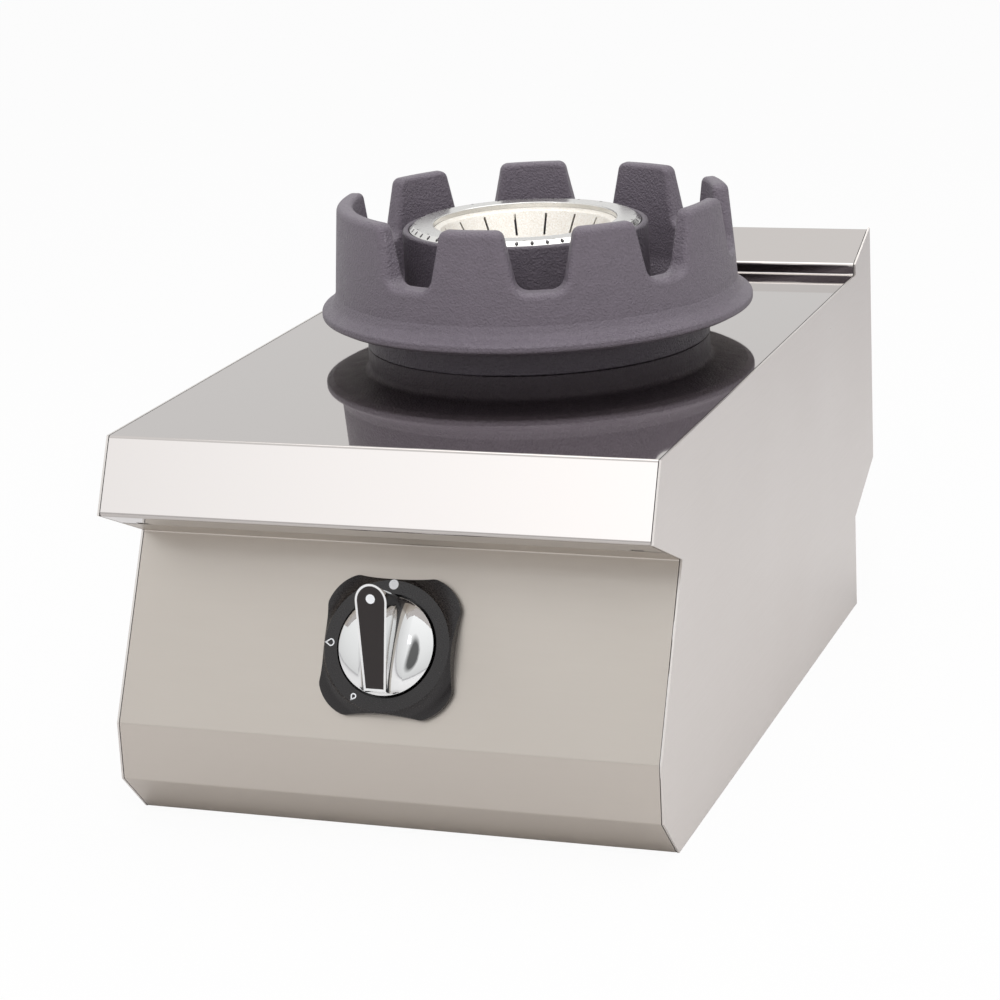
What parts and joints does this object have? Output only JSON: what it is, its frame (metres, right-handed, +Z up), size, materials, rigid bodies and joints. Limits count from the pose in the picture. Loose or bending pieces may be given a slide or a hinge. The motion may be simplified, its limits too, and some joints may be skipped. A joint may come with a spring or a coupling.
{
  "type": "wok range",
  "caption": "Countertop gas wok range: folded steel casing, slanted front with a tap knob, and a slotted burner inside a toothed iron wok ring that lifts off.",
  "frame": {"origin": "middle of the four foot holes, on the plane that the range stands on", "axes": "+X to the right seen from the front, +Y to the rear, +Z up"},
  "size_m": [0.4, 0.6556, 0.389],
  "materials": {
    "polished_steel": "mirror polished stainless steel",
    "satin_steel": "fine satin stainless steel",
    "galvanised_steel": "dull zinc coat",
    "iron": "sand-cast, matt heat-proof coat",
    "burner_aluminium": "turned",
    "cone_metal": "sand-cast, pale and rough",
    "brass_fitting": "machined",
    "zinc_steel": "bright zinc plate",
    "pipe_steel": "drawn tube",
    "copper": "drawn copper tube",
    "knob_chrome": "polished chrome plate",
    "black_plastic": "moulded, satin",
    "black_inlay": "smooth"
  },
  "bodies": {
    "casing": {"worktop": "polished_steel", "side_panel_left": "satin_steel", "side_panel_right": "satin_steel", "control_panel": "satin_steel", "rear_panel": "galvanised_steel", "base_rail_left": "galvanised_steel", "base_rail_right": "galvanised_steel", "front_crossmember": "galvanised_steel", "rear_crossmember": "galvanised_steel", "burner_bracket_front": "galvanised_steel", "burner_bracket_rear": "galvanised_steel", "heat_shield": "galvanised_steel", "pilot_bracket": "galvanised_steel", "pipe_clips": "galvanised_steel", "burner_body": "iron", "mixing_tube": "iron", "gas_tap": "brass_fitting", "gas_inlet": "brass_fitting", "pipe_nuts": "brass_fitting", "injector": "brass_fitting", "injector_holder": "brass_fitting", "pilot_burner": "brass_fitting", "tap_nut": "brass_fitting", "burner_bolts": "zinc_steel", "rear_screws": "zinc_steel", "air_shutter": "zinc_steel", "thermocouple": "zinc_steel", "burner_pipe": "pipe_steel", "supply_pipe": "pipe_steel", "pilot_pipe": "copper", "thermocouple_lead": "copper", "knob_bezel": "black_plastic"},
    "wok_ring": {"wok_ring": "iron"},
    "burner_ring": {"burner_ring": "burner_aluminium"},
    "burner_cone": {"burner_cone": "cone_metal"},
    "push_rod": {"tap_push_rod": "zinc_steel"},
    "knob": {"knob_body": "knob_chrome", "knob_insert": "black_inlay", "tap_spindle": "zinc_steel"}
  },
  "joints": [
    {"name": "knob_press", "type": "slide", "parent": "casing", "child": "push_rod", "axis": [0, 0.8896, -0.4567], "range_m": [0, 0.004], "stiffness_N_per_m": 2000, "springref_m": -0.002},
    {"name": "knob_turn", "type": "hinge", "parent": "push_rod", "child": "knob", "pos_m": [0, -0.29316, 0.13421], "axis": [0, -0.8896, 0.4567], "range_deg": [0, 151]},
    {"name": "wok_ring_lift", "type": "slide", "parent": "casing", "child": "wok_ring", "axis": [0, 0, 1], "range_m": [0, 0.12]},
    {"name": "burner_ring_lift", "type": "slide", "parent": "casing", "child": "burner_ring", "axis": [0, 0, 1], "range_m": [0, 0.06]},
    {"name": "burner_cone_lift", "type": "slide", "parent": "burner_ring", "child": "burner_cone", "axis": [0, 0, 1], "range_m": [0, 0.06]}
  ]
}
